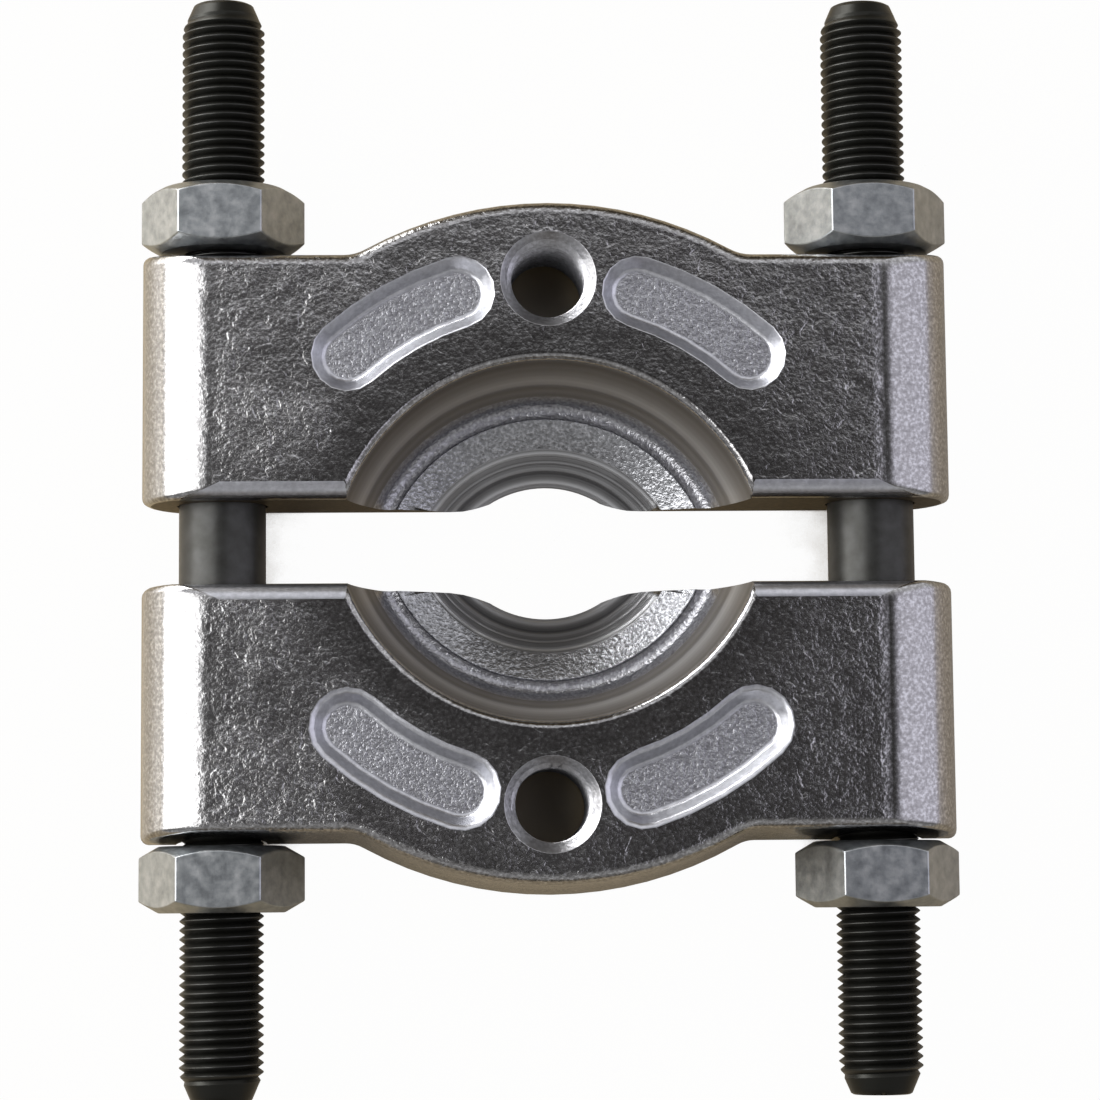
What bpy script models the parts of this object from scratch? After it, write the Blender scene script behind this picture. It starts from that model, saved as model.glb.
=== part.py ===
"""External bearing puller: two forged jaws on two studs, drawn together by four hexagon nuts.

Units are metres. The puller lies on the flat backs of its jaws: +X runs across it,
+Y along its studs and +Z up, with the origin on the resting plane, midway along the studs.
"""

import math

import bmesh
import bpy
from mathutils import Matrix

# How far the jaws stand apart, and where the middle of their gap stands along the studs
JAW_GAP = 0.0139
JAW_PLACE = -0.00075

# Fits
NUT_GAP = 0.0003
SHANK_CLEARANCE = 0.0003
THREAD_CLEARANCE = 0.0003

# Studs, M14 x 1.5 at both ends with a plain turned shank between
THREAD_DIAMETER = 0.014
STUD_LENGTH = 0.185
STUD_SPACING = 0.1095
SHANK_DIAMETER = 0.0146
SHANK_LENGTH = 0.064
POINT_DIAMETER = 0.0094
POINT_LENGTH = 0.0045
POINT_CROWN = 0.0004

# Hexagon nuts, chamfered on both faces
NUT_FLATS = 0.024
NUT_HEIGHT = 0.011
NUT_FACE_DIAMETER = 0.021
NUT_CHAMFER = math.radians(30)
NUT_MOUTH = 0.0003

# Jaw blank, a drop forging parted at its middle
NUT_SHELTER = 0.0005
EAR_END = 0.0135
ARCH_RISE = 0.0088
ARCH_FILLET = 0.006
FORGING_DRAFT = math.radians(8.5)
WALL_RADIUS = 0.0020
END_RADIUS = 0.0120
MATING_RADIUS = 0.0028
CORNER_RADIUS = 0.0014

# Bearing seat, turned about a centre beyond the jaw's mating face
SEAT_OFFSET = 0.0133
OPENING_RADIUS = 0.0177
KNIFE_LAND = 0.0003
CONE_WIDTH = 0.0062
CONE_RISE = 0.0047
RING_WIDTH = 0.0050
RING_RISE = 0.0025
RING_ROUND = 0.0004
COVE_STEP = 0.0006
COVE_GUTTER = 0.0007
COVE_FOOT = 0.0020
COVE_CURVE = 0.0481
COVE_DRAFT = math.radians(8)
RIM_ROUND = 0.0013

# Threaded puller hole and the two sunk pockets beside it
HOLE_LAND = 0.0123
ARCH_WALL = 0.0147
PULLER_HOLE = 0.0124
PULLER_CHAMFER = 0.0018
POCKET_LAND = 0.0012
POCKET_WIDTH = 0.0119
POCKET_LENGTH = 0.0215
POCKET_DEPTH = 0.0022
POCKET_LEAN = math.radians(50)
POCKET_FOOT = 0.0011

# Facets
TURNED_STEPS = 48
SEAT_STEPS = 96
CURVE_STEPS = 8
FILLET_STEPS = 4
FOOT_STEPS = 3
LEVEL_SPACING = 0.0001
MERGE_DISTANCE = 0.00001
SHARP_ANGLE = math.radians(35)
CUT_MARGIN = 0.002

# Sizes that follow from the ones above
QUARTER = math.pi / 2
NUT_CORNER = NUT_FLATS / 2 / math.cos(math.pi / 6)
NUT_BORE = THREAD_DIAMETER + 2 * THREAD_CLEARANCE
STUD_BORE = SHANK_DIAMETER + 2 * SHANK_CLEARANCE
JAW_THICKNESS = NUT_FLATS + 2 * NUT_SHELTER
HALF_THICKNESS = JAW_THICKNESS / 2
JAW_HALF_WIDTH = STUD_SPACING / 2 + EAR_END
CONE_RADIUS = OPENING_RADIUS + CONE_WIDTH
CONE_HEIGHT = KNIFE_LAND + CONE_RISE
RING_RADIUS = CONE_RADIUS + RING_WIDTH
RING_HEIGHT = CONE_HEIGHT + RING_RISE
COVE_FLOOR = RING_HEIGHT - COVE_STEP
COVE_TOP = JAW_THICKNESS - RIM_ROUND
COVE_TURN = math.asin(
    (COVE_TOP - COVE_FLOOR - COVE_FOOT + COVE_CURVE * math.sin(COVE_DRAFT)) / (COVE_CURVE - COVE_FOOT)
)
COVE_FOOT_RADIUS = RING_RADIUS + COVE_GUTTER
COVE_BEND_RADIUS = COVE_FOOT_RADIUS + COVE_FOOT * math.cos(COVE_TURN)
COVE_RADIUS = COVE_BEND_RADIUS + COVE_CURVE * (math.cos(COVE_DRAFT) - math.cos(COVE_TURN))
SEAT_RADIUS = COVE_RADIUS + RIM_ROUND
PULLER_CIRCLE = SEAT_RADIUS + HOLE_LAND
ARCH_RADIUS = PULLER_CIRCLE + ARCH_WALL
EAR_HEIGHT = ARCH_RADIUS - SEAT_OFFSET - ARCH_RISE
COUNTERSINK_RADIUS = PULLER_HOLE / 2 + PULLER_CHAMFER
POCKET_WALL = POCKET_DEPTH - POCKET_FOOT * (1 - math.cos(POCKET_LEAN))
POCKET_SLOPE = POCKET_FOOT * math.sin(POCKET_LEAN) + POCKET_WALL / math.tan(POCKET_LEAN)
NUT_REACH = JAW_GAP / 2 + EAR_HEIGHT + NUT_GAP + NUT_HEIGHT / 2

parts = bpy.data.collections.new("external_bearing_puller")
cutters = bpy.data.collections.new("cutters")


def clear_scene():
    for old in list(bpy.data.objects):
        bpy.data.objects.remove(old, do_unlink=True)
    bpy.context.scene.collection.children.link(parts)
    bpy.context.scene.collection.children.link(cutters)


def metal(name, colour, roughness, metallic):
    material = bpy.data.materials.new(name)
    material.use_nodes = True
    shader = material.node_tree.nodes["Principled BSDF"]
    shader.inputs["Base Color"].default_value = (*colour, 1)
    shader.inputs["Roughness"].default_value = roughness
    shader.inputs["Metallic"].default_value = metallic
    material.diffuse_color = (*colour, 1)
    return material


def smooth(piece):
    piece.data.shade_smooth()
    piece.data.set_sharp_from_angle(angle=SHARP_ANGLE)


def cut(piece, cutter, operation="DIFFERENCE"):
    """Apply a cutter given in the piece's own frame, and keep it under that piece."""
    for owner in list(cutter.users_collection):
        owner.objects.unlink(cutter)
    cutters.objects.link(cutter)
    cutter.hide_render = True
    cutter.display_type = "WIRE"
    cutter.parent = piece
    boolean = piece.modifiers.new(cutter.name, "BOOLEAN")
    boolean.operation = operation
    boolean.solver = "EXACT"
    boolean.object = cutter


def mirrored(piece, across_x=True, across_z=False):
    mirror = piece.modifiers.new("mirror", "MIRROR")
    mirror.use_axis = (across_x, False, across_z)
    mirror.merge_threshold = MERGE_DISTANCE


def turned(name, profile, steps=TURNED_STEPS):
    """A solid turned about its own Z, from (radius, height) points listed from top to bottom."""
    mesh = bpy.data.meshes.new(name)
    points = [(radius, 0, height) for radius, height in profile]
    mesh.from_pydata(points, [(i, i + 1) for i in range(len(points) - 1)], [])
    piece = bpy.data.objects.new(name, mesh)
    parts.objects.link(piece)
    screw = piece.modifiers.new("turning", "SCREW")
    screw.steps = steps
    screw.render_steps = steps
    screw.use_merge_vertices = True
    screw.merge_threshold = MERGE_DISTANCE
    return piece


def arc(centre, radius, start, end, steps):
    """Points along an arc with both ends included, from angles in radians."""
    angles = [start + (end - start) * i / steps for i in range(steps + 1)]
    return [(centre[0] + radius * math.cos(a), centre[1] + radius * math.sin(a)) for a in angles]


# Jaw blank


def edge_inset(height, radius, draft):
    """How far a drafted wall has drawn in at a height, with its edge rounded into the face."""
    centre_height = HALF_THICKNESS - radius
    if height <= centre_height + radius * math.sin(draft):
        return height * math.tan(draft)
    rise = min(height - centre_height, radius)
    return centre_height * math.tan(draft) + radius / math.cos(draft) - math.sqrt(radius**2 - rise**2)


def half_outline(height):
    """The jaw's right half at a height from its parting plane, from mating face to arch top."""
    wall = edge_inset(height, WALL_RADIUS, FORGING_DRAFT)
    corner_x = JAW_HALF_WIDTH - edge_inset(height, END_RADIUS, FORGING_DRAFT) - CORNER_RADIUS
    mating = edge_inset(height, MATING_RADIUS, 0)
    fillet_reach = ARCH_RADIUS + ARCH_FILLET
    fillet_rise = EAR_HEIGHT + ARCH_FILLET + SEAT_OFFSET
    lean = math.asin(fillet_rise / fillet_reach)
    fillet = (fillet_reach * math.cos(lean), EAR_HEIGHT + ARCH_FILLET)
    points = [(0, mating)]
    points += arc((corner_x, mating + CORNER_RADIUS), CORNER_RADIUS, -QUARTER, 0, FILLET_STEPS)
    points += arc(
        (corner_x, EAR_HEIGHT - wall - CORNER_RADIUS), CORNER_RADIUS, 0, QUARTER, FILLET_STEPS
    )
    points += arc(fillet, ARCH_FILLET + wall, -QUARTER, lean - math.pi, FILLET_STEPS)
    points += arc((0, -SEAT_OFFSET), ARCH_RADIUS - wall, lean, QUARTER, CURVE_STEPS)[1:]
    return points


def jaw_levels():
    """Heights from the parting plane to the face, close together where the edges are round."""
    heights = {0.0, HALF_THICKNESS}
    for radius, steps in ((END_RADIUS, CURVE_STEPS), (WALL_RADIUS, FILLET_STEPS)):
        centre_height = HALF_THICKNESS - radius
        heights.update(z for _, z in arc((0, centre_height), radius, FORGING_DRAFT, QUARTER, steps))
    levels = []
    for height in sorted(heights):
        if not levels or height - levels[-1] > LEVEL_SPACING:
            levels.append(height)
    return levels


def jaw_blank(name):
    """One quarter lofted from the parting plane to the face, then mirrored to left and back."""
    shape = bmesh.new()
    rows = []
    for height in jaw_levels():
        rows.append([shape.verts.new((x, y, height)) for x, y in half_outline(height)])
    for low, high in zip(rows, rows[1:]):
        for i in range(len(low) - 1):
            shape.faces.new((low[i], low[i + 1], high[i + 1], high[i]))
    shape.faces.new(rows[-1])
    mesh = bpy.data.meshes.new(name)
    shape.to_mesh(mesh)
    shape.free()
    blank = bpy.data.objects.new(name, mesh)
    parts.objects.link(blank)
    mirrored(blank, across_z=True)
    return blank


# Jaw cuts


def seat_cutter(name):
    """Knife edge, turned cone, raised ring, cove and rounded rim, with heights from the back."""
    foot = (COVE_FOOT_RADIUS, COVE_FLOOR + COVE_FOOT)
    bend = COVE_RADIUS - COVE_CURVE * math.cos(COVE_DRAFT)
    bend_height = COVE_TOP + COVE_CURVE * math.sin(COVE_DRAFT)
    top = JAW_THICKNESS + CUT_MARGIN
    profile = [(0, top), (SEAT_RADIUS, top)]
    profile += arc((SEAT_RADIUS, COVE_TOP), RIM_ROUND, QUARTER, math.pi, FILLET_STEPS)
    profile += arc((bend, bend_height), COVE_CURVE, -COVE_DRAFT, -COVE_TURN, CURVE_STEPS)[1:]
    profile += arc(foot, COVE_FOOT, -COVE_TURN, -QUARTER, FILLET_STEPS)[1:]
    profile += arc((RING_RADIUS - RING_ROUND, RING_HEIGHT - RING_ROUND), RING_ROUND, 0, QUARTER, FILLET_STEPS)
    profile += [
        (CONE_RADIUS, CONE_HEIGHT),
        (OPENING_RADIUS, KNIFE_LAND),
        (OPENING_RADIUS, -CUT_MARGIN),
        (0, -CUT_MARGIN),
    ]
    return turned(name, profile, SEAT_STEPS)


def puller_cutter(name):
    """A through hole countersunk alike on both faces, about the jaw's middle."""
    radius = PULLER_HOLE / 2
    wide = COUNTERSINK_RADIUS + CUT_MARGIN
    high = HALF_THICKNESS + CUT_MARGIN
    low = HALF_THICKNESS - PULLER_CHAMFER
    return turned(name, [(0, high), (wide, high), (radius, low), (radius, -low), (wide, -high), (0, -high)])


def pocket_outline(inset):
    """A slot curved about the seat's centre along the puller hole's own circle."""
    half = POCKET_WIDTH / 2
    start = QUARTER - 2 * math.asin((COUNTERSINK_RADIUS + POCKET_LAND + half) / (2 * PULLER_CIRCLE))
    end = start - POCKET_LENGTH / PULLER_CIRCLE
    width = half - inset
    centre = (0, -SEAT_OFFSET)
    near, far = (arc(centre, PULLER_CIRCLE, turn, turn, 1)[0] for turn in (start, end))
    points = arc(centre, PULLER_CIRCLE - width, start, end, FILLET_STEPS)
    points += arc(far, width, end - math.pi, end, CURVE_STEPS)[1:-1]
    points += arc(centre, PULLER_CIRCLE + width, end, start, FILLET_STEPS)
    points += arc(near, width, start, start + math.pi, CURVE_STEPS)[1:-1]
    return points


def pocket_cutter(name):
    """Both pockets, each lofted from its flat floor up a rounded foot and a wall out of the face."""
    foot = (-POCKET_SLOPE, HALF_THICKNESS - POCKET_DEPTH + POCKET_FOOT)
    levels = arc(foot, POCKET_FOOT, -QUARTER, POCKET_LEAN - QUARTER, FOOT_STEPS)
    levels.append((CUT_MARGIN / math.tan(POCKET_LEAN), HALF_THICKNESS + CUT_MARGIN))
    shape = bmesh.new()
    rows = []
    for across, height in levels:
        rows.append([shape.verts.new((x, y, height)) for x, y in pocket_outline(-across)])
    for low, high in zip(rows, rows[1:]):
        for i in range(len(low)):
            j = (i + 1) % len(low)
            shape.faces.new((low[i], low[j], high[j], high[i]))
    shape.faces.new(reversed(rows[0]))
    shape.faces.new(rows[-1])
    mesh = bpy.data.meshes.new(name)
    shape.to_mesh(mesh)
    shape.free()
    pockets = bpy.data.objects.new(name, mesh)
    mirrored(pockets)
    return pockets


def bore_cutter(name):
    bpy.ops.mesh.primitive_cylinder_add(
        vertices=TURNED_STEPS, radius=STUD_BORE / 2, depth=EAR_HEIGHT + 2 * CUT_MARGIN
    )
    bores = bpy.context.object
    bores.name = name
    bores.data.transform(
        Matrix.Translation((STUD_SPACING / 2, EAR_HEIGHT / 2, 0)) @ Matrix.Rotation(-QUARTER, 4, "X")
    )
    mirrored(bores)
    return bores


def jaw(name, turn, finish):
    """A jaw about its mating face, turned about Z so that the face looks at the other jaw's."""
    blank = jaw_blank(name)
    seat = seat_cutter(name + "_seat_cutter")
    seat.location = (0, -SEAT_OFFSET, -HALF_THICKNESS)
    hole = puller_cutter(name + "_puller_cutter")
    hole.location = (0, PULLER_CIRCLE - SEAT_OFFSET, 0)
    cut(blank, seat)
    cut(blank, hole)
    cut(blank, pocket_cutter(name + "_pocket_cutter"))
    cut(blank, bore_cutter(name + "_bore_cutter"))
    blank.rotation_euler = (0, 0, turn)
    blank.location = (0, JAW_PLACE + math.cos(turn) * JAW_GAP / 2, HALF_THICKNESS)
    blank.data.materials.append(finish)
    smooth(blank)


# Studs and nuts


def stud(name, side, finish):
    """A turned stud along +Y: thread diameter at both ends and a plain shank between them."""
    thread = THREAD_DIAMETER / 2
    shank = SHANK_DIAMETER / 2
    point = POINT_DIAMETER / 2
    end = STUD_LENGTH / 2
    shoulder = SHANK_LENGTH / 2
    upper = [
        (0, end),
        (point, end),
        (point + POINT_CROWN, end - POINT_CROWN / 2),
        (thread - POINT_CROWN / 2, end - POINT_LENGTH + POINT_CROWN),
        (thread, end - POINT_LENGTH),
        (thread, shoulder + shank - thread),
        (shank, shoulder),
    ]
    piece = turned(name, upper + [(radius, -height) for radius, height in reversed(upper)])
    piece.rotation_euler = (-QUARTER, 0, 0)
    piece.location = (side * STUD_SPACING / 2, 0, HALF_THICKNESS)
    piece.data.materials.append(finish)


def nut(name, side, end, finish):
    """A hexagon nut on its stud's axis, one flat up, with both faces chamfered and its bore open."""
    bpy.ops.mesh.primitive_cylinder_add(vertices=6, radius=NUT_CORNER, depth=NUT_HEIGHT)
    piece = bpy.context.object
    piece.name = name
    piece.data.name = name
    piece.data.transform(Matrix.Rotation(math.pi / 6, 4, "Z"))
    for owner in list(piece.users_collection):
        owner.objects.unlink(piece)
    parts.objects.link(piece)
    half = NUT_HEIGHT / 2
    face = NUT_FACE_DIAMETER / 2
    wide = NUT_CORNER + CUT_MARGIN
    low = half - (wide - face) * math.tan(NUT_CHAMFER)
    cone = [(0, half), (face, half), (wide, low), (wide, -low), (face, -half), (0, -half)]
    cut(piece, turned(name + "_chamfer_cutter", cone), "INTERSECT")
    bore = NUT_BORE / 2
    mouth = bore + NUT_MOUTH + CUT_MARGIN
    high = half + CUT_MARGIN
    low = half - NUT_MOUTH
    hole = [(0, high), (mouth, high), (bore, low), (bore, -low), (mouth, -high), (0, -high)]
    cut(piece, turned(name + "_bore_cutter", hole))
    piece.rotation_euler = (-QUARTER, 0, 0)
    piece.location = (side * STUD_SPACING / 2, JAW_PLACE + end * NUT_REACH, HALF_THICKNESS)
    piece.data.materials.append(finish)
    smooth(piece)


def build():
    clear_scene()
    plated = metal("bright_plated_forging", (0.42, 0.42, 0.44), 0.32, 1.0)
    zinc = metal("blue_zinc", (0.46, 0.48, 0.50), 0.38, 1.0)
    black = metal("black_oxide", (0.018, 0.018, 0.020), 0.45, 0.6)
    jaw("upper_jaw", 0, plated)
    jaw("lower_jaw", math.pi, plated)
    for side, hand in ((-1, "left"), (1, "right")):
        stud(f"{hand}_stud", side, black)
        nut(f"upper_{hand}_nut", side, 1, zinc)
        nut(f"lower_{hand}_nut", side, -1, zinc)


build()
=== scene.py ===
"""The looks of an external bearing puller: plated forgings, black studs, zinc nuts and studio.

Metres throughout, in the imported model's own frame: +X across, +Y along the studs, +Z up.
"""

import math

import bmesh
import bpy
from mathutils import Matrix, Vector


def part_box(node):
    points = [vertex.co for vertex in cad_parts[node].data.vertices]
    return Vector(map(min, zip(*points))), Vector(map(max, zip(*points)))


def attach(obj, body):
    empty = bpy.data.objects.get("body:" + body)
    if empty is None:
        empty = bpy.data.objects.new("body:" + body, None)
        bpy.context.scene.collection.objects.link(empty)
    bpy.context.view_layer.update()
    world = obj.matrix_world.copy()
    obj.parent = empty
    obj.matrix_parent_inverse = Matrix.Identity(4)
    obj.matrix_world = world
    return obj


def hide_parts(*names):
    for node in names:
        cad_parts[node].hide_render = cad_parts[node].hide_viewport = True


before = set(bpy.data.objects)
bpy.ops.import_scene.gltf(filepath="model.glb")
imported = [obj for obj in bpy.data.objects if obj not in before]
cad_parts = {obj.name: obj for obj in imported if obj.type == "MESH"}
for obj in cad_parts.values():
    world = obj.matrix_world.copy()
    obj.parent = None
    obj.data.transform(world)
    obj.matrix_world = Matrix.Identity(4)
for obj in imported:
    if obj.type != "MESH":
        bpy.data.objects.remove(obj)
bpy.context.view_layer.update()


# The jaws are two like drop forgings, trimmed, bright plated and then machined where they work.
# Each is the imported solid with its triangles joined up, its edges broken, and its puller hole
# tapped; every machined or sunk surface gets the finish that its own tool left, and the colours of
# the cove, the cone and the mating faces also hold painted reflections and painted shade.

MM = 0.001
upper_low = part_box("upper_jaw")[0][1]
lower_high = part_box("lower_jaw")[1][1]
GAP_MIDDLE = (upper_low + lower_high) / 2
JAW_HALF_GAP = (upper_low - lower_high) / 2
JAW_THICK = 25 * MM
SEAT_OFFSET = 13.3 * MM - JAW_HALF_GAP
CONE_RADIUS = 23.9 * MM
CONE_HEIGHT = 5.0 * MM
RING_RADIUS = 28.9 * MM
FOOT_TOP = 9.2 * MM
RIM_FOOT = 23.7 * MM
RIM_RADIUS = 37.75 * MM
HOLE_CIRCLE = 50.05 * MM
COUNTERSINK = 8.0 * MM
POCKET_DEPTH = 2.2 * MM
POCKET_HALF = 6.6 * MM
RIM_ROUND = 1.0 * MM
BROKEN_EDGE = 0.25 * MM
STUD_X = 54.75 * MM
STUD_Z = 12.5 * MM
STUD_BORE = 7.7 * MM
PITCH = 1.5 * MM
THREAD_MAJOR = 7.0 * MM
THREAD_MINOR = 6.08 * MM
THREAD_STEPS = 48
JOIN = 1e-6
CREASE = math.radians(20)
SKIN, SUNK, COVE, RING, CONE, DRILLED, GROUND, WALL = range(8)


def srgb(code):
    """A hex colour as the linear red, green, blue and alpha that a shader socket takes."""
    channels = [int(code[i : i + 2], 16) / 255 for i in (1, 3, 5)]
    return [c / 12.92 if c <= 0.04045 else ((c + 0.055) / 1.055) ** 2.4 for c in channels] + [1.0]


def add(tree, kind, inputs=None, stops=(), **settings):
    """Add a node: each input is a value or the socket that feeds it, and stops colour a ramp."""
    node = tree.nodes.new(kind)
    for name, value in settings.items():
        setattr(node, name, value)
    for name, value in (inputs or {}).items():
        if isinstance(value, bpy.types.NodeSocket):
            tree.links.new(value, node.inputs[name])
        else:
            node.inputs[name].default_value = value
    for i, (position, code) in enumerate(stops):
        elements = node.color_ramp.elements
        stop = elements[i] if i < len(elements) else elements.new(position)
        stop.position = position
        stop.color = srgb(code)
    return node


def select_only(piece):
    bpy.ops.object.select_all(action="DESELECT")
    piece.select_set(True)
    bpy.context.view_layer.objects.active = piece


def apply_modifiers(piece):
    select_only(piece)
    for modifier in list(piece.modifiers):
        bpy.ops.object.modifier_apply(modifier=modifier.name)


def thread_rod(name, low, high, growth=0.0):
    """A right-hand M14 x 1.5 thread about Z between two heights, in step with height 0."""
    depth = THREAD_MAJOR - THREAD_MINOR
    bpy.ops.object.select_all(action="DESELECT")
    bpy.ops.mesh.primitive_plane_add(size=1)
    rod = bpy.context.object
    rod.name = name
    turns = math.ceil((high - low) / PITCH) + 4
    start = (math.floor(low / PITCH) - 2) * PITCH
    profile = [
        (THREAD_MINOR, start),
        (THREAD_MAJOR - 0.1 * depth, start + 0.40 * PITCH),
        (THREAD_MAJOR, start + 0.46 * PITCH),
        (THREAD_MAJOR, start + 0.54 * PITCH),
        (THREAD_MAJOR - 0.1 * depth, start + 0.60 * PITCH),
        (THREAD_MINOR, start + PITCH),
    ]
    shape = bmesh.new()
    points = [shape.verts.new((radius + growth, 0, height)) for radius, height in profile]
    for first, second in zip(points, points[1:]):
        shape.edges.new((first, second))
    shape.to_mesh(rod.data)
    shape.free()
    screw = rod.modifiers.new("helix", "SCREW")
    screw.angle = math.tau
    screw.screw_offset = PITCH
    screw.iterations = turns
    screw.steps = THREAD_STEPS
    screw.render_steps = THREAD_STEPS
    screw.use_merge_vertices = True
    screw.merge_threshold = JOIN
    apply_modifiers(rod)
    bpy.ops.object.mode_set(mode="EDIT")
    bpy.ops.mesh.select_all(action="SELECT")
    bpy.ops.mesh.remove_doubles(threshold=JOIN)
    for height, below in ((low, True), (high, False)):
        bpy.ops.mesh.select_all(action="SELECT")
        bpy.ops.mesh.bisect(
            plane_co=(0, 0, height),
            plane_no=(0, 0, 1),
            use_fill=True,
            clear_inner=below,
            clear_outer=not below,
            threshold=1e-7,
        )
    bpy.ops.mesh.select_all(action="SELECT")
    bpy.ops.mesh.normals_make_consistent(inside=False)
    bpy.ops.object.mode_set(mode="OBJECT")
    return rod


def cut_away(piece, tool):
    """Cut a tool's shape out of a piece, then put the tool away."""
    boolean = piece.modifiers.new("cut", "BOOLEAN")
    boolean.operation = "DIFFERENCE"
    boolean.solver = "EXACT"
    boolean.object = tool
    apply_modifiers(piece)
    bpy.data.objects.remove(tool, do_unlink=True)


def finish_normals(piece, angle=32):
    """Smooth the curved faces, keep the corners, and let the broad flats rule the shading."""
    select_only(piece)
    bpy.ops.object.shade_smooth_by_angle(angle=math.radians(angle), keep_sharp_edges=False)
    weighted = piece.modifiers.new("flats rule", "WEIGHTED_NORMAL")
    weighted.keep_sharp = True
    weighted.weight = 60
    apply_modifiers(piece)


def seat_place(place, side):
    """Distances of a point on a jaw from its seat's centre, and from its puller hole's."""
    out = side * (place.y - GAP_MIDDLE) + SEAT_OFFSET
    return math.hypot(place.x, out), math.hypot(place.x, out - HOLE_CIRCLE)


def jaw_surface(centre, normal, side):
    """Which tool left this face of a jaw: the number of its finish."""
    seat, hole = seat_place(centre, side)
    beside_bore = math.hypot(abs(centre.x) - STUD_X, centre.z - STUD_Z)
    if abs(centre.y - GAP_MIDDLE) < JAW_HALF_GAP + 0.03 * MM and abs(normal.y) > 0.7:
        return GROUND
    if hole < COUNTERSINK + 0.1 * MM and 0.01 * MM < centre.z < JAW_THICK - 0.01 * MM:
        return DRILLED
    if beside_bore < STUD_BORE and abs(normal.y) < 0.5 and abs(centre.x) > STUD_X - 8.75 * MM:
        return DRILLED
    if seat < CONE_RADIUS - 0.05 * MM and centre.z > 0.01 * MM:
        return CONE
    if seat < RIM_RADIUS and 0.01 * MM < centre.z < FOOT_TOP:
        return RING if seat < RING_RADIUS + 0.1 * MM else SUNK
    if seat < RIM_RADIUS and FOOT_TOP <= centre.z < RIM_FOOT:
        return COVE
    sunk = JAW_THICK - centre.z
    in_pocket = abs(seat - HOLE_CIRCLE) < POCKET_HALF and normal.z > 0.5
    if in_pocket and 0.01 * MM < sunk < POCKET_DEPTH + 0.1 * MM:
        return SUNK if sunk > POCKET_DEPTH - 0.02 * MM else WALL
    return SKIN


def crisp_edges(shape, side):
    """The pockets' rims, that the die drew over, and the machined edges, that are only broken."""
    rims, broken = [], []
    for edge in shape.edges:
        if len(edge.link_faces) != 2 or edge.calc_face_angle(0) < CREASE:
            continue
        middle = (edge.verts[0].co + edge.verts[1].co) / 2
        seat, hole = seat_place(middle, side)
        on_face = middle.z > JAW_THICK - 0.02 * MM
        pocket_rim = on_face and seat > RIM_RADIUS + 1 * MM and hole > COUNTERSINK + 0.5 * MM
        countersink = on_face and abs(hole - COUNTERSINK) < 0.15 * MM
        shoulder = abs(seat - CONE_RADIUS) < 0.1 * MM and abs(middle.z - CONE_HEIGHT) < 0.1 * MM
        if pocket_rim:
            rims.append(edge)
        if countersink or shoulder:
            broken.append(edge)
    return rims, broken


# How coarse the skin stays, as a product of steps: what each step follows, where it starts and
# ends, and its share at either end. Beyond END_FACE the jaws' ends are rolled nearly smooth.
END_FACE = (54 * MM, 56 * MM)
SKIN_WEAR = [
    ("seat", 39 * MM, 48 * MM, 0.0, 1.0),
    ("across", -58 * MM, 25 * MM, 1.2, 0.45),
    ("cloud", 0.35, 0.62, 0.55, 1.0),
    ("across", *END_FACE, 1.0, 0.0),
    ("across", -62 * MM, -56 * MM, 0.0, 1.0),
]
CLOUD_SIZE = 16 * MM
SCAR_SIZE = 3.2 * MM
SMOOTH_DEPTH = 0.35
END_DEPTH = 0.05
COARSE_DEPTH = 0.55
COARSE_DULLNESS = 0.06


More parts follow.
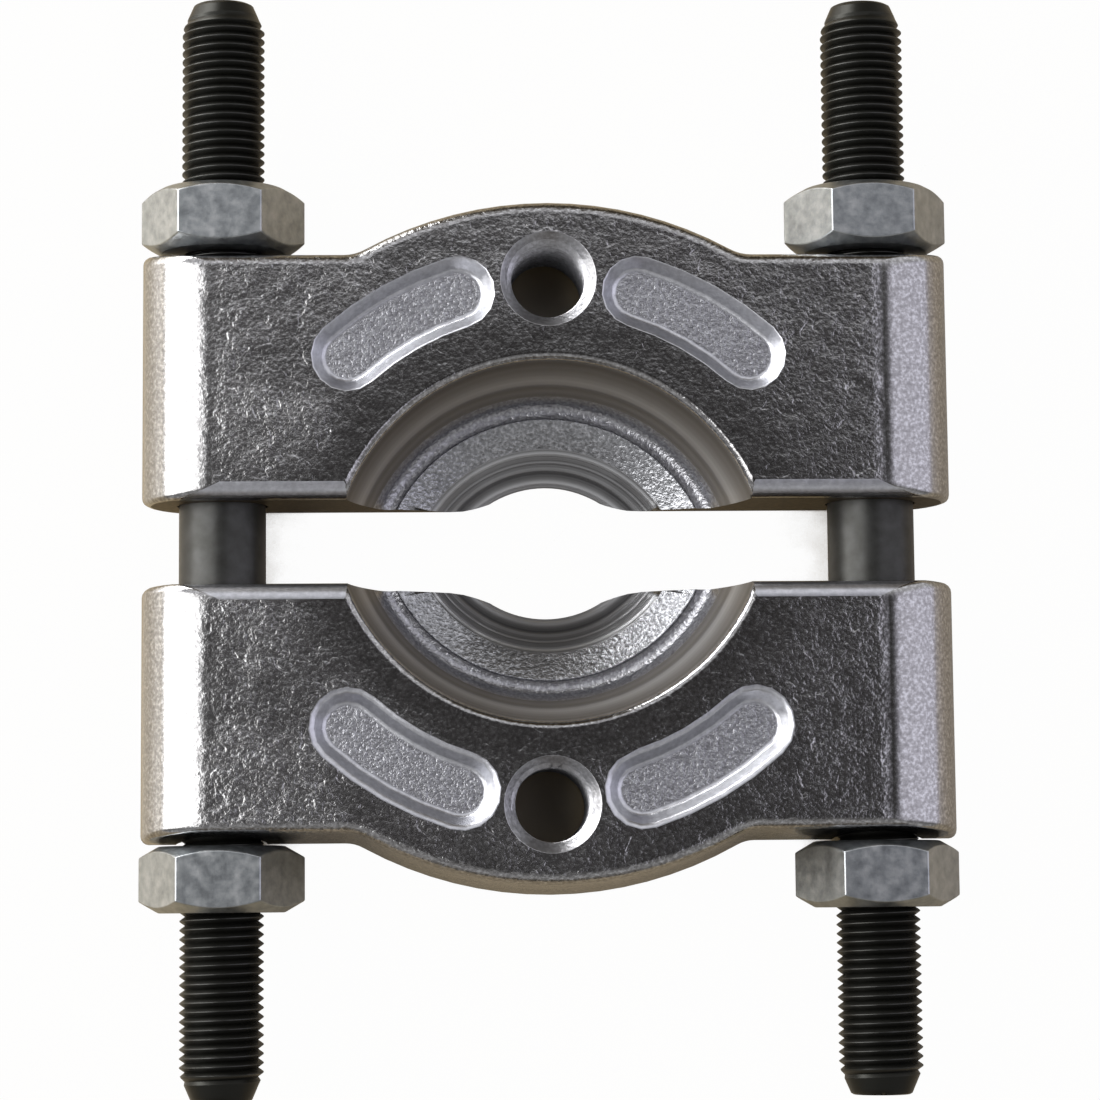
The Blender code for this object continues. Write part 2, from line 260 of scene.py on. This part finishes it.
def plating(name, stops, roughness, grain, lumps, scars=0.0, turning_and_painted_bands=None, worn=False):
    """Bright plating copies the steel under it, so the relief of that steel makes all its sparkle.

    Grain, lumps and turning are each a (size, depth) in metres, and scars is a depth. Turning also
    sets the colour in light and dark bands by radius: painted reflections. Worn skin
    is smoother where the metal ran hardest over the die: round the seat, to the right, on the ends.
    """
    material = bpy.data.materials.new(name)
    material.use_nodes = True
    tree = material.node_tree
    shader = tree.nodes["Principled BSDF"]
    place = add(tree, "ShaderNodeTexCoord").outputs["Object"]
    fine = add(
        tree,
        "ShaderNodeTexNoise",
        {"Vector": place, "Scale": 1 / grain[0], "Detail": 2.0, "Roughness": 0.55},
    ).outputs["Fac"]
    broad = add(
        tree, "ShaderNodeTexNoise", {"Vector": place, "Scale": 1 / lumps[0], "Detail": 2.0}
    ).outputs["Fac"]
    relief = add(tree, "ShaderNodeMath", {0: fine, 1: grain[1]}, operation="MULTIPLY").outputs[0]
    relief = add(
        tree, "ShaderNodeMath", {0: broad, 1: lumps[1], 2: relief}, operation="MULTIPLY_ADD"
    ).outputs[0]
    if scars:
        marks = add(
            tree,
            "ShaderNodeTexNoise",
            {"Vector": place, "Scale": 1 / SCAR_SIZE, "Detail": 1.5, "Distortion": 1.2},
        ).outputs["Fac"]
        ridge = add(
            tree,
            "ShaderNodeMapRange",
            {"Value": marks, "From Min": 0.60, "From Max": 0.72, "To Max": scars},
        ).outputs["Result"]
        relief = add(tree, "ShaderNodeMath", {0: relief, 1: ridge}, operation="SUBTRACT").outputs[0]
    split = add(tree, "ShaderNodeSeparateXYZ", {"Vector": place})
    along = add(
        tree, "ShaderNodeMath", {0: split.outputs["Y"], 1: GAP_MIDDLE}, operation="SUBTRACT"
    ).outputs[0]
    along = add(tree, "ShaderNodeMath", {0: along}, operation="ABSOLUTE").outputs[0]
    along = add(tree, "ShaderNodeMath", {0: along, 1: SEAT_OFFSET}, operation="ADD").outputs[0]
    flat = add(tree, "ShaderNodeCombineXYZ", {"X": split.outputs["X"], "Y": along}).outputs[0]
    reach = add(tree, "ShaderNodeVectorMath", {0: flat}, operation="LENGTH").outputs["Value"]
    # The colour follows the fine grain, a random tone; with turning it follows the lathe's bands
    # instead, painted light and dark reflections by radius.
    shade = fine
    if turning_and_painted_bands:
        shade = add(
            tree,
            "ShaderNodeTexNoise",
            {"W": reach, "Scale": 1 / turning_and_painted_bands[0], "Detail": 3.0},
            noise_dimensions="1D",
        ).outputs["Fac"]
        relief = add(
            tree, "ShaderNodeMath", {0: shade, 1: turning_and_painted_bands[1], 2: relief}, operation="MULTIPLY_ADD"
        ).outputs[0]
    if worn:
        cloud = add(
            tree, "ShaderNodeTexNoise", {"Vector": place, "Scale": 1 / CLOUD_SIZE, "Detail": 2.0}
        ).outputs["Fac"]
        across = add(
            tree, "ShaderNodeMath", {0: split.outputs["X"]}, operation="ABSOLUTE"
        ).outputs[0]
        follows = {"seat": reach, "across": split.outputs["X"], "cloud": cloud}
        coarse = 1.0
        for source, near, far, first, last in SKIN_WEAR:
            limits = {"From Min": near, "From Max": far, "To Min": first, "To Max": last}
            step = add(
                tree,
                "ShaderNodeMapRange",
                {"Value": follows[source], **limits},
                interpolation_type="SMOOTHSTEP",
            ).outputs["Result"]
            coarse = add(
                tree, "ShaderNodeMath", {0: step, 1: coarse}, operation="MULTIPLY"
            ).outputs[0]
        limits = {"From Min": END_FACE[0], "From Max": END_FACE[1]}
        depth = add(
            tree,
            "ShaderNodeMapRange",
            {"Value": across, **limits, "To Min": SMOOTH_DEPTH, "To Max": END_DEPTH},
        ).outputs["Result"]
        depth = add(
            tree, "ShaderNodeMath", {0: coarse, 1: COARSE_DEPTH, 2: depth}, operation="MULTIPLY_ADD"
        ).outputs[0]
        relief = add(tree, "ShaderNodeMath", {0: relief, 1: depth}, operation="MULTIPLY").outputs[0]
        dull = add(
            tree,
            "ShaderNodeMath",
            {0: coarse, 1: COARSE_DULLNESS, 2: roughness},
            operation="MULTIPLY_ADD",
        ).outputs[0]
        tree.links.new(dull, shader.inputs["Roughness"])
    bump = add(tree, "ShaderNodeBump", {"Height": relief, "Distance": 1.0, "Strength": 1.0})
    tree.links.new(bump.outputs["Normal"], shader.inputs["Normal"])
    tint = add(tree, "ShaderNodeValToRGB", {"Fac": shade}, stops)
    tree.links.new(tint.outputs["Color"], shader.inputs["Base Color"])
    shader.inputs["Metallic"].default_value = 1.0
    shader.inputs["Roughness"].default_value = roughness
    return material


# Chrome-plated drop-forged steel: the die's fine pits and flow lines show through the bright plate,
# so the flat faces sparkle dark and light like hammered metal, and run smooth where they are worn.
forged_skin = plating(
    "chrome_plated_forging_skin",
    [(0.3, "#868585"), (0.5, "#9f9e9e"), (0.7, "#c2c2c3")],
    0.15,
    (0.6 * MM, 0.12 * MM),
    (3.5 * MM, 0.25 * MM),
    scars=0.05 * MM,
    worn=True,
)
# The same plating low in the pockets, where the barrel never rubs: satin, even and a little paler.
sunk_skin = plating(
    "chrome_plated_sunk_skin",
    [(0.3, "#88888c"), (0.5, "#9f9fa3"), (0.7, "#bcbdc1")],
    0.30,
    (0.55 * MM, 0.17 * MM),
    (3.5 * MM, 0.10 * MM),
)
# The pockets' sloping walls are pressed smooth by the die, so they catch long clean highlights.
pocket_wall = plating(
    "chrome_plated_pocket_wall",
    [(0.3, "#b4b5ba"), (0.5, "#c0c1c6"), (0.7, "#cccdd2")],
    0.33,
    (0.9 * MM, 0.02 * MM),
    (3 * MM, 0.06 * MM),
)
# The cove round the seat is turned with a broad tool and plated but never polished: it shades
# softly, and the tool's shallow steps show in its relief. The light and dark arcs in its colour are
# painted reflections, and the warm brown of its darkest arcs is painted shade and painted brown
# reflection.
cove_painted_arcs = plating(
    "chrome_plated_cove_painted_arcs",
    [(0.35, "#6c6761"), (0.5, "#918f8d"), (0.65, "#d4d4d6")],
    0.50,
    (0.9 * MM, 0.012 * MM),
    (4 * MM, 0.06 * MM),
    turning_and_painted_bands=(3.2 * MM, 0.9 * MM),
)
# The flat ring inside the cove keeps a coarse, pitted forging skin under its plate, and glints.
ring_skin = plating(
    "chrome_plated_ring",
    [(0.3, "#7b7c7e"), (0.5, "#9d9ea1"), (0.7, "#c6c7cb")],
    0.27,
    (0.6 * MM, 0.16 * MM),
    (3.0 * MM, 0.15 * MM),
)
# Turned steel under plate: the lathe's rings pull each highlight out along the cone, and the light
# and dark rings in its colour are painted reflections. They are drawn 0.3 to 2.4 mm apart, coarser
# than the real ones, so that they show.
cone_painted_rings = plating(
    "chrome_plated_turned_cone_painted_rings",
    [(0.35, "#616162"), (0.5, "#8c8c8d"), (0.65, "#c6c7c9")],
    0.28,
    (0.8 * MM, 0.02 * MM),
    (3 * MM, 0.03 * MM),
    turning_and_painted_bands=(2.4 * MM, 0.34 * MM),
)
# Drilled and countersunk steel under thin plate: clean, satin and a little paler than the skin.
drilled_steel = plating(
    "plated_drilled_steel",
    [(0.3, "#9a9a9c"), (0.5, "#a8a8ab"), (0.7, "#bcbcc0")],
    0.34,
    (0.7 * MM, 0.05 * MM),
    (2 * MM, 0.05 * MM),
)
# The mating faces are ground and oiled, so they stay dull with hardly any relief; their dark, warm
# brown is painted shade and painted brown reflection, where each face looks across the gap at the
# other.
ground_face_painted_shade = plating(
    "ground_mating_face_painted_shade",
    [(0.3, "#443827"), (0.5, "#50432f"), (0.7, "#63543e")],
    0.45,
    (0.8 * MM, 0.01 * MM),
    (4 * MM, 0.05 * MM),
)
jaw_finishes = {
    SKIN: forged_skin,
    SUNK: sunk_skin,
    COVE: cove_painted_arcs,
    RING: ring_skin,
    CONE: cone_painted_rings,
    DRILLED: drilled_steel,
    GROUND: ground_face_painted_shade,
    WALL: pocket_wall,
}


def forged_jaw(node, side):
    """One jaw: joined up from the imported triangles, edges broken, hole tapped, finishes laid on."""
    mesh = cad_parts[node].data.copy()
    mesh.materials.clear()
    jaw = bpy.data.objects.new(node + "_forging", mesh)
    bpy.context.scene.collection.objects.link(jaw)
    select_only(jaw)
    bpy.ops.object.mode_set(mode="EDIT")
    bpy.ops.mesh.select_all(action="SELECT")
    bpy.ops.mesh.remove_doubles(threshold=JOIN)
    bpy.ops.mesh.dissolve_limited(angle_limit=math.radians(0.3))
    bpy.ops.mesh.select_mode(type="EDGE")
    for choice, offset, segments in ((0, RIM_ROUND, 5), (1, BROKEN_EDGE, 2)):
        bpy.ops.mesh.select_all(action="DESELECT")
        shape = bmesh.from_edit_mesh(mesh)
        for edge in crisp_edges(shape, side)[choice]:
            edge.select_set(True)
        bmesh.update_edit_mesh(mesh)
        bpy.ops.mesh.bevel(offset=offset, segments=segments, affect="EDGES", clamp_overlap=True)
    bpy.ops.object.mode_set(mode="OBJECT")
    tap = thread_rod("tap", -2 * MM, JAW_THICK + 2 * MM)
    hole_y = GAP_MIDDLE + side * (HOLE_CIRCLE - SEAT_OFFSET)
    tap.data.transform(Matrix.Translation((0, hole_y, 0)))
    cut_away(jaw, tap)
    for number in sorted(jaw_finishes):
        mesh.materials.append(jaw_finishes[number])
    for face in jaw.data.polygons:
        face.material_index = jaw_surface(face.center, face.normal, side)
    finish_normals(jaw)
    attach(jaw, node)
    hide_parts(node)


forged_jaw("upper_jaw", 1)
forged_jaw("lower_jaw", -1)


# Each stud is a length of steel rod, turned to a plain shank, rolled with the same right-hand
# thread at both ends, pointed, and blacked in a hot oxide bath. It is oiled, so it has a dull
# shine, and the crests of the thread are rubbed lighter than its roots.

STUD_HALF = 92.5 * MM
SHANK_HALF = 32 * MM
SHANK_RADIUS = 7.3 * MM
SHANK_EDGE = 0.3 * MM
THREAD_SUNK = 1 * MM
POINT = [(0.0, 4.7 * MM), (0.2 * MM, 5.1 * MM), (4.1 * MM, 6.8 * MM), (4.5 * MM, 7.0 * MM)]


def oxide(name, rubbed):
    """Black oxide on rolled steel: nearly black, dully shining with oil, paler on the crests."""
    material = bpy.data.materials.new(name)
    material.use_nodes = True
    tree = material.node_tree
    shader = tree.nodes["Principled BSDF"]
    place = add(tree, "ShaderNodeTexCoord").outputs["Object"]
    cloud = add(
        tree, "ShaderNodeTexNoise", {"Vector": place, "Scale": 1 / (2.5 * MM), "Detail": 5.0}
    ).outputs["Fac"]
    split = add(tree, "ShaderNodeSeparateXYZ", {"Vector": place})
    across = add(tree, "ShaderNodeMath", {0: split.outputs["X"]}, operation="ABSOLUTE").outputs[0]
    flat = add(tree, "ShaderNodeCombineXYZ", {"X": across, "Z": split.outputs["Z"]}).outputs[0]
    reach = add(
        tree, "ShaderNodeVectorMath", {0: flat, 1: (STUD_X, 0, STUD_Z)}, operation="DISTANCE"
    ).outputs["Value"]
    crest = add(
        tree,
        "ShaderNodeMapRange",
        {"Value": reach, "From Min": THREAD_MINOR, "From Max": THREAD_MAJOR + 0.05 * MM},
    ).outputs["Result"]
    wear = add(
        tree,
        "ShaderNodeMapRange",
        {"Value": cloud, "From Min": 0.3, "From Max": 0.7, "To Min": 0.42, "To Max": 0.58},
    ).outputs["Result"]
    worn = add(tree, "ShaderNodeMath", {0: crest, 1: wear}, operation="MULTIPLY").outputs[0]
    stops = [(0.1, "#1e1e1a"), (0.4, "#2f2f2c"), (0.62, rubbed)]
    tint = add(tree, "ShaderNodeValToRGB", {"Fac": worn}, stops)
    tree.links.new(tint.outputs["Color"], shader.inputs["Base Color"])
    bump = add(tree, "ShaderNodeBump", {"Height": cloud, "Distance": 0.03 * MM, "Strength": 1.0})
    tree.links.new(bump.outputs["Normal"], shader.inputs["Normal"])
    shader.inputs["Metallic"].default_value = 0.7
    shader.inputs["Roughness"].default_value = 0.36
    return material


stud_black = oxide("black_oxide_steel", "#414140")


def pointed(rod):
    """Turn a thread's outer end down to its point."""
    for vertex in rod.data.vertices:
        inside = STUD_HALF - abs(vertex.co.z)
        for (near, small), (far, large) in zip(POINT, POINT[1:]):
            if inside <= far:
                share = max(0.0, (inside - near) / (far - near))
                limit = small + (large - small) * share
                radius = math.hypot(vertex.co.x, vertex.co.y)
                if radius > limit:
                    vertex.co.x *= limit / radius
                    vertex.co.y *= limit / radius
                break


def turned_stud():
    """One stud about Z, each thread let a little way into the shank's end."""
    upper = thread_rod("upper_thread", SHANK_HALF - THREAD_SUNK, STUD_HALF)
    lower = thread_rod("lower_thread", -STUD_HALF, THREAD_SUNK - SHANK_HALF)
    pointed(upper)
    pointed(lower)
    bpy.ops.object.select_all(action="DESELECT")
    bpy.ops.mesh.primitive_cylinder_add(vertices=96, radius=SHANK_RADIUS, depth=2 * SHANK_HALF)
    shank = bpy.context.object
    bpy.ops.object.mode_set(mode="EDIT")
    bpy.ops.mesh.select_mode(type="EDGE")
    bpy.ops.mesh.select_all(action="DESELECT")
    shape = bmesh.from_edit_mesh(shank.data)
    for edge in shape.edges:
        edge.select_set(abs(edge.verts[0].co.z - edge.verts[1].co.z) < JOIN)
    bmesh.update_edit_mesh(shank.data)
    bpy.ops.mesh.bevel(offset=SHANK_EDGE, segments=2, affect="EDGES")
    bpy.ops.object.mode_set(mode="OBJECT")
    select_only(shank)
    upper.select_set(True)
    lower.select_set(True)
    bpy.ops.object.join()
    shank.data.materials.clear()
    shank.data.materials.append(stud_black)
    return shank


def placed_copy(pattern, name, x, along=0.0, turned=0.0):
    """A copy with its own mesh, laid along Y at a stud's place, turned about X and slid first."""
    piece = bpy.data.objects.new(name, pattern.data.copy())
    bpy.context.scene.collection.objects.link(piece)
    laid = Matrix.Translation((x, 0, STUD_Z)) @ Matrix.Rotation(-math.pi / 2, 4, "X")
    slid = Matrix.Translation((0, 0, along)) @ Matrix.Rotation(turned, 4, "X")
    piece.data.transform(laid @ slid)
    return piece


stud_pattern = turned_stud()
for node, x in (("left_stud", -STUD_X), ("right_stud", STUD_X)):
    stud = placed_copy(stud_pattern, node + "_threaded", x)
    finish_normals(stud, 28)
    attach(stud, node)
    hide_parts(node)
bpy.data.objects.remove(stud_pattern, do_unlink=True)


# The nuts are cold-formed hexagons, chamfered on both faces, tapped, and zinc plated in a barrel,
# where they knock together: that rounds their corners and leaves a cloudy, faintly blue surface.

NUT_HALF = 5.5 * MM
NUT_CORNER = 24 * MM / math.sqrt(3)
NUT_FACE = 10.5 * MM
NUT_CHAMFER = math.radians(30)
NUT_EDGE = 0.22 * MM
TOOL_SPARE = 0.1 * MM
THREAD_PLAY = 0.08 * MM


def zinc(name):
    """Zinc plate, barrelled and passivated: a satin grey with a blue cast and a cloudy bloom."""
    material = bpy.data.materials.new(name)
    material.use_nodes = True
    tree = material.node_tree
    shader = tree.nodes["Principled BSDF"]
    place = add(tree, "ShaderNodeTexCoord").outputs["Object"]
    cloud = add(
        tree,
        "ShaderNodeTexNoise",
        {"Vector": place, "Scale": 1 / (2.2 * MM), "Detail": 6.0, "Roughness": 0.6},
    ).outputs["Fac"]
    stops = [(0.3, "#8d9194"), (0.5, "#a0a4a6"), (0.7, "#b3b5b6")]
    tint = add(tree, "ShaderNodeValToRGB", {"Fac": cloud}, stops)
    tree.links.new(tint.outputs["Color"], shader.inputs["Base Color"])
    rough = add(
        tree,
        "ShaderNodeMapRange",
        {"Value": cloud, "From Min": 0.3, "From Max": 0.7, "To Min": 0.29, "To Max": 0.38},
    ).outputs["Result"]
    tree.links.new(rough, shader.inputs["Roughness"])
    fine = add(
        tree, "ShaderNodeTexNoise", {"Vector": place, "Scale": 1 / (0.7 * MM), "Detail": 3.0}
    ).outputs["Fac"]
    bump = add(tree, "ShaderNodeBump", {"Height": fine, "Distance": 0.02 * MM, "Strength": 1.0})
    tree.links.new(bump.outputs["Normal"], shader.inputs["Normal"])
    shader.inputs["Metallic"].default_value = 1.0
    return material


nut_zinc = zinc("barrel_zinc_plate")


def tapped_nut(height):
    """One nut about Z, tapped at this height so that its thread is in step with the stud's."""
    bpy.ops.object.select_all(action="DESELECT")
    bpy.ops.mesh.primitive_cylinder_add(vertices=6, radius=NUT_CORNER, depth=2 * NUT_HALF)
    hexagon = bpy.context.object
    hexagon.data.transform(Matrix.Rotation(math.pi / 6, 4, "Z"))
    bpy.ops.object.select_all(action="DESELECT")
    bpy.ops.mesh.primitive_cylinder_add(vertices=96, radius=NUT_CORNER, depth=2 * NUT_HALF)
    turned = bpy.context.object
    bpy.ops.object.mode_set(mode="EDIT")
    bpy.ops.mesh.select_mode(type="FACE")
    bpy.ops.mesh.select_all(action="DESELECT")
    shape = bmesh.from_edit_mesh(turned.data)
    for face in shape.faces:
        face.select_set(abs(face.normal.z) > 0.9)
    bmesh.update_edit_mesh(turned.data)
    bpy.ops.mesh.inset(thickness=NUT_CORNER - NUT_FACE)
    bpy.ops.object.mode_set(mode="OBJECT")
    fall = (NUT_CORNER - NUT_FACE + TOOL_SPARE) * math.tan(NUT_CHAMFER)
    for vertex in turned.data.vertices:
        radius = math.hypot(vertex.co.x, vertex.co.y)
        if radius > NUT_FACE + 0.5 * MM:
            vertex.co.z -= math.copysign(fall, vertex.co.z)
            vertex.co.x *= (radius + TOOL_SPARE) / radius
            vertex.co.y *= (radius + TOOL_SPARE) / radius
    both = hexagon.modifiers.new("chamfer", "BOOLEAN")
    both.operation = "INTERSECT"
    both.solver = "EXACT"
    both.object = turned
    apply_modifiers(hexagon)
    bpy.data.objects.remove(turned, do_unlink=True)
    bpy.ops.object.mode_set(mode="EDIT")
    bpy.ops.mesh.select_all(action="SELECT")
    bpy.ops.mesh.remove_doubles(threshold=JOIN)
    bpy.ops.mesh.select_mode(type="EDGE")
    bpy.ops.mesh.select_all(action="DESELECT")
    shape = bmesh.from_edit_mesh(hexagon.data)
    for edge in shape.edges:
        edge.select_set(len(edge.link_faces) == 2 and edge.calc_face_angle(0) > CREASE)
    bmesh.update_edit_mesh(hexagon.data)
    bpy.ops.mesh.bevel(offset=NUT_EDGE, segments=2, affect="EDGES", clamp_overlap=True)
    bpy.ops.object.mode_set(mode="OBJECT")
    hexagon.data.transform(Matrix.Translation((0, 0, height)))
    past = NUT_HALF + 1 * MM
    cut_away(hexagon, thread_rod("nut_tap", height - past, height + past, THREAD_PLAY))
    hexagon.data.materials.clear()
    hexagon.data.materials.append(nut_zinc)
    return hexagon


def middle_along(node):
    low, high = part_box(node)
    return (low[1] + high[1]) / 2


# The lower nuts are the same nut turned end for end, which keeps the thread's hand, and they stand
# a whole number of turns further out, so all four threads are in step with the studs'.
upper_place = middle_along("upper_left_nut")
nut_pattern = tapped_nut(upper_place)
for node, x, turned in (
    ("upper_left_nut", -STUD_X, 0.0),
    ("upper_right_nut", STUD_X, 0.0),
    ("lower_left_nut", -STUD_X, math.pi),
    ("lower_right_nut", STUD_X, math.pi),
):
    along = middle_along(node) + (upper_place if turned else -upper_place)
    nut = placed_copy(nut_pattern, node + "_plated", x, along, turned)
    finish_normals(nut, 30)
    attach(nut, node)
    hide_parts(node)
bpy.data.objects.remove(nut_pattern, do_unlink=True)


# The studio is a pale sweep under a soft room: dim overhead, with a tall window wall to the left
# and a paler, bluish wall to the right. The plating shows that room in every facet of its skin.

GLOW = 0.98
GLOSS_GLOW = 0.1
FLOOR_DROP = 0.3 * MM
SHADE_REACH = 30 * MM
DARK_BELOW, LIT_ABOVE = 0.14, 0.19


def studio_floor():
    """Pale matt card that looks white, save deep under a hole, where ambient occlusion paints it
    dark: painted shade.
    """
    bpy.ops.object.select_all(action="DESELECT")
    bpy.ops.mesh.primitive_plane_add(size=6, location=(0, 0, -FLOOR_DROP))
    floor = bpy.context.object
    floor.name = "studio_floor"
    material = bpy.data.materials.new("pale_card")
    material.use_nodes = True
    tree = material.node_tree
    tree.nodes["Principled BSDF"].inputs["Base Color"].default_value = srgb("#a9956d")
    tree.nodes["Principled BSDF"].inputs["Roughness"].default_value = 0.3
    tree.nodes["Principled BSDF"].inputs["IOR"].default_value = 2.0
    matt = tree.nodes["Principled BSDF"].outputs["BSDF"]
    # Ambient occlusion cuts the glow: painted shade under the deep holes, and in the metal's
    # reflections a faint painted contact shadow near the puller.
    open_sky = add(
        tree, "ShaderNodeAmbientOcclusion", {"Distance": SHADE_REACH}, samples=32
    ).outputs["AO"]
    lit = add(
        tree,
        "ShaderNodeMapRange",
        {"Value": open_sky, "From Min": DARK_BELOW, "From Max": LIT_ABOVE, "To Max": GLOW},
    ).outputs["Result"]
    dimmed = add(
        tree, "ShaderNodeMath", {0: open_sky, 1: GLOSS_GLOW}, operation="MULTIPLY"
    ).outputs[0]
    rays = add(tree, "ShaderNodeLightPath")
    straight = add(
        tree,
        "ShaderNodeMath",
        {0: rays.outputs["Is Camera Ray"], 1: rays.outputs["Is Transmission Ray"]},
        operation="MAXIMUM",
    ).outputs[0]
    share = add(tree, "ShaderNodeMath", {0: straight, 1: lit}, operation="MULTIPLY").outputs[0]
    share = add(
        tree,
        "ShaderNodeMath",
        {0: rays.outputs["Is Glossy Ray"], 1: dimmed, 2: share},
        operation="MULTIPLY_ADD",
    ).outputs[0]
    glow = add(tree, "ShaderNodeEmission", {"Color": srgb("#ffffff"), "Strength": 1.0}).outputs[0]
    shown = add(tree, "ShaderNodeMixShader", {"Fac": share, 1: matt, 2: glow}).outputs[0]
    tree.links.new(shown, tree.nodes["Material Output"].inputs["Surface"])
    floor.data.materials.append(material)


studio_floor()

ROOM_STRENGTH = 2.5
ROOM_SPAN = 120
CORNERS = (0.13, 0.42)
SIDE_WALLS = [
    (-120, "#c6beb2"),
    (-80, "#d6d3ce"),
    (-60, "#c4c3c2"),
    (-34, "#b8b8ba"),
    (-27, "#9b9b9d"),
    (-19, "#656567"),
    (-11, "#393838"),
    (-4, "#2f2e2e"),
    (8, "#252423"),
    (13, "#2a2928"),
    (19, "#b2b1bb"),
    (86, "#b5b4bf"),
    (96, "#5e4c3a"),
    (120, "#443626"),
]
END_WALLS = [
    (-1.0, "#3a3226"),
    (-0.9, "#6d6c6b"),
    (-0.7, "#818182"),
    (-0.35, "#585757"),
    (0.3, "#949496"),
    (0.65, "#b0b0b3"),
    (0.8, "#5c5954"),
    (0.9, "#342d22"),
]


def room():
    """The side walls by their lean from overhead in degrees, the end walls by their share of Y."""
    world = bpy.data.worlds.new("room")
    bpy.context.scene.world = world
    world.use_nodes = True
    tree = world.node_tree
    way = add(tree, "ShaderNodeTexCoord").outputs["Generated"]
    split = add(tree, "ShaderNodeSeparateXYZ", {"Vector": way})
    lean = add(
        tree, "ShaderNodeMath", {0: split.outputs["X"], 1: split.outputs["Z"]}, operation="ARCTAN2"
    ).outputs[0]
    span = math.radians(ROOM_SPAN)
    share = add(
        tree, "ShaderNodeMapRange", {"Value": lean, "From Min": -span, "From Max": span}
    ).outputs["Result"]
    stops = [((degrees + ROOM_SPAN) / (2 * ROOM_SPAN), code) for degrees, code in SIDE_WALLS]
    sides = add(tree, "ShaderNodeValToRGB", {"Fac": share}, stops).outputs["Color"]
    share = add(
        tree, "ShaderNodeMapRange", {"Value": split.outputs["Y"], "From Min": -1.0}
    ).outputs["Result"]
    stops = [((depth + 1) / 2, code) for depth, code in END_WALLS]
    ends = add(tree, "ShaderNodeValToRGB", {"Fac": share}, stops).outputs["Color"]
    depth = add(tree, "ShaderNodeMath", {0: split.outputs["Y"]}, operation="ABSOLUTE").outputs[0]
    turn = add(
        tree,
        "ShaderNodeMapRange",
        {"Value": depth, "From Min": CORNERS[0], "From Max": CORNERS[1]},
        interpolation_type="SMOOTHSTEP",
    ).outputs["Result"]
    walls = add(tree, "ShaderNodeMix", {0: turn, 6: sides, 7: ends}, data_type="RGBA").outputs[2]
    tree.links.new(walls, tree.nodes["Background"].inputs["Color"])
    tree.nodes["Background"].inputs["Strength"].default_value = ROOM_STRENGTH


room()


def window(place, width, height, energy):
    """A soft window of white light that looks at the middle of the puller."""
    lamp = bpy.data.lights.new("window", "AREA")
    lamp.shape = "RECTANGLE"
    lamp.size = width
    lamp.size_y = height
    lamp.energy = energy
    holder = bpy.data.objects.new("window", lamp)
    bpy.context.scene.collection.objects.link(holder)
    holder.location = place
    holder.rotation_euler = (Vector(place) * -1).to_track_quat("-Z", "Y").to_euler()


# The tall window whitens the jaws' left ends; the low, wide one lights the pockets' walls.
window((-0.95, 0, 0.74), 0.9, 1.5, 12.2)
window((-0.71, 0.65, 0.24), 1.0, 0.45, 13)


PHOTO_SIDE = 1100


def photograph_camera():
    """From over the studs' lower half, far enough off to draw the puller nearly square."""
    camera = bpy.data.cameras.new("camera")
    camera.sensor_width = 36
    camera.lens = 3521.5 / PHOTO_SIDE * camera.sensor_width
    camera.shift_y = -78.7 / PHOTO_SIDE
    camera.clip_start = 0.01
    holder = bpy.data.objects.new("camera", camera)
    bpy.context.scene.collection.objects.link(holder)
    holder.location = (-0.02354, -0.06107, 0.6035)
    holder.rotation_euler = (math.radians(7.0651), math.radians(-2.263), math.radians(-0.522))
    bpy.context.scene.camera = holder


photograph_camera()
bpy.context.scene.view_settings.view_transform = "Standard"
